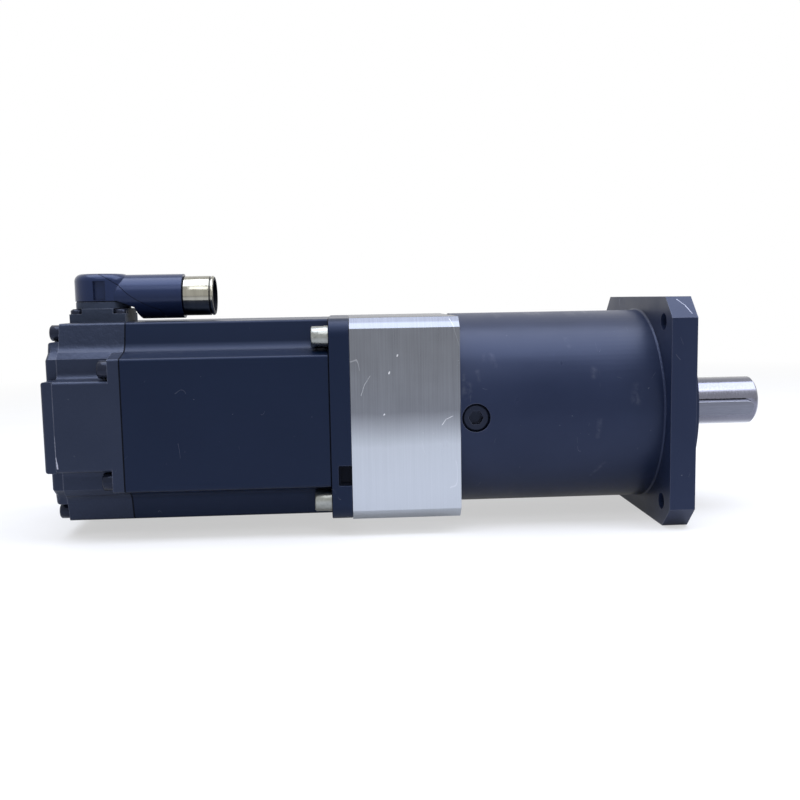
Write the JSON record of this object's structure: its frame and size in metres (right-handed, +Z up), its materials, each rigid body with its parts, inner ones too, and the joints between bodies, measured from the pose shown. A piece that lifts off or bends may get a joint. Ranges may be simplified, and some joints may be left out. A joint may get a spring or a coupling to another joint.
{
  "type": "geared servo motor",
  "caption": "Servo motor with an in-line planetary gearhead, square output flange, keyed shaft, adapter block and swivelling connector.",
  "frame": {"origin": "on the shaft axis, in the plane of the output flange's mounting face", "axes": "+X out along the output shaft, +Z up from the shaft axis to the connector, so -Y is the side with the clamp access plug"},
  "size_m": [0.2879, 0.09, 0.103],
  "materials": {
    "case_paint": "satin",
    "motor_paint": "satin",
    "cast_paint": "rough cast",
    "ground_steel": "ground",
    "gear_steel": "hobbed",
    "bearing_steel": "polished",
    "milled_aluminium": "milled",
    "zinc_screws": "zinc plated",
    "black_screws": "black oxide",
    "seal_rubber": "matt",
    "bronze": "turned",
    "copper": "enamelled wire",
    "lamination": "stacked sheet",
    "magnet": "plated",
    "board": "solder mask",
    "disc": "coated",
    "connector_shell": "satin",
    "connector_chrome": "bright",
    "insert_plastic": "matt",
    "contact_gold": "gold plated"
  },
  "bodies": {
    "housing": {"gear_housing": "case_paint", "ring_gear": "gear_steel", "output_shaft_seal": "seal_rubber", "front_output_bearing_outer_ring": "bearing_steel", "rear_output_bearing_outer_ring": "bearing_steel", "input_bearing_plate": "milled_aluminium", "input_bearing_outer_ring": "bearing_steel", "clamp_access_plug": "black_screws", "adapter_block": "milled_aluminium", "adapter_screws": "black_screws", "motor_front_flange": "motor_paint", "motor_flange_screws": "zinc_screws", "motor_shaft_seal": "seal_rubber", "motor_front_bearing_outer_ring": "bearing_steel", "motor_housing": "motor_paint", "stator_core": "lamination", "stator_windings": "copper", "rear_end_shield": "cast_paint", "motor_rear_bearing_outer_ring": "bearing_steel", "rear_cover": "cast_paint", "rear_shield_screws": "black_screws", "rear_tie_screws": "black_screws", "encoder_board": "board", "connector_base": "cast_paint", "connector_base_screws": "black_screws"},
    "rotor": {"motor_shaft": "ground_steel", "rotor_core": "lamination", "rotor_magnets": "magnet", "motor_front_bearing_inner_ring": "bearing_steel", "motor_rear_bearing_inner_ring": "bearing_steel", "sun_gear_hub": "gear_steel", "clamp_ring": "gear_steel", "clamp_screw": "black_screws", "input_bearing_inner_ring": "bearing_steel", "encoder_disc": "disc"},
    "output": {"output_shaft": "ground_steel", "output_key": "ground_steel", "front_output_bearing_inner_ring": "bearing_steel", "rear_output_bearing_inner_ring": "bearing_steel", "bearing_spacer": "ground_steel", "planet_pins": "ground_steel"},
    "planet_1": {"planet_gear_1": "gear_steel", "planet_bush_1": "bronze"},
    "planet_2": {"planet_gear_2": "gear_steel", "planet_bush_2": "bronze"},
    "planet_3": {"planet_gear_3": "gear_steel", "planet_bush_3": "bronze"},
    "front_output_bearing_cage": {"front_output_bearing_balls": "bearing_steel"},
    "rear_output_bearing_cage": {"rear_output_bearing_balls": "bearing_steel"},
    "input_bearing_cage": {"input_bearing_balls": "bearing_steel"},
    "motor_front_bearing_cage": {"motor_front_bearing_balls": "bearing_steel"},
    "motor_rear_bearing_cage": {"motor_rear_bearing_balls": "bearing_steel"},
    "connector": {"connector_body": "connector_shell", "connector_cap": "connector_shell", "coupling_sleeve": "connector_chrome", "connector_insert": "insert_plastic", "contact_pins": "contact_gold"}
  },
  "joints": [
    {"name": "rotor_spin", "type": "hinge", "parent": "housing", "child": "rotor", "pos_m": [-0.15, 0, 0], "axis": [1, 0, 0], "continuous": true},
    {"name": "output_spin", "type": "hinge", "parent": "housing", "child": "output", "pos_m": [0, 0, 0], "axis": [1, 0, 0], "continuous": true},
    {"name": "planet_1_spin", "type": "hinge", "parent": "output", "child": "planet_1", "pos_m": [-0.049, 0, 0.01875], "axis": [1, 0, 0], "continuous": true},
    {"name": "planet_2_spin", "type": "hinge", "parent": "output", "child": "planet_2", "pos_m": [-0.049, -0.01624, -0.00937], "axis": [1, 0, 0], "continuous": true},
    {"name": "planet_3_spin", "type": "hinge", "parent": "output", "child": "planet_3", "pos_m": [-0.049, 0.01624, -0.00937], "axis": [1, 0, 0], "continuous": true},
    {"name": "front_output_bearing_balls_roll", "type": "hinge", "parent": "housing", "child": "front_output_bearing_cage", "pos_m": [-0.011, 0, 0], "axis": [1, 0, 0], "continuous": true},
    {"name": "rear_output_bearing_balls_roll", "type": "hinge", "parent": "housing", "child": "rear_output_bearing_cage", "pos_m": [-0.028, 0, 0], "axis": [1, 0, 0], "continuous": true},
    {"name": "input_bearing_balls_roll", "type": "hinge", "parent": "housing", "child": "input_bearing_cage", "pos_m": [-0.0715, 0, 0], "axis": [1, 0, 0], "continuous": true},
    {"name": "motor_front_bearing_balls_roll", "type": "hinge", "parent": "housing", "child": "motor_front_bearing_cage", "pos_m": [-0.145, 0, 0], "axis": [1, 0, 0], "continuous": true},
    {"name": "motor_rear_bearing_balls_roll", "type": "hinge", "parent": "housing", "child": "motor_rear_bearing_cage", "pos_m": [-0.224, 0, 0], "axis": [1, 0, 0], "continuous": true},
    {"name": "connector_swivel", "type": "hinge", "parent": "housing", "child": "connector", "pos_m": [-0.232, 0, 0.05], "axis": [0, 0, 1], "range_deg": [-160, 160]}
  ],
  "couplings": [
    {"joint": "output_spin", "follows": "rotor_spin", "ratio": 0.2},
    {"joint": "planet_1_spin", "follows": "rotor_spin", "ratio": -0.53333},
    {"joint": "planet_2_spin", "follows": "rotor_spin", "ratio": -0.53333},
    {"joint": "planet_3_spin", "follows": "rotor_spin", "ratio": -0.53333},
    {"joint": "front_output_bearing_balls_roll", "follows": "rotor_spin", "ratio": 0.082222},
    {"joint": "rear_output_bearing_balls_roll", "follows": "rotor_spin", "ratio": 0.082222},
    {"joint": "input_bearing_balls_roll", "follows": "rotor_spin", "ratio": 0.4561},
    {"joint": "motor_front_bearing_balls_roll", "follows": "rotor_spin", "ratio": 0.38209},
    {"joint": "motor_rear_bearing_balls_roll", "follows": "rotor_spin", "ratio": 0.38}
  ]
}
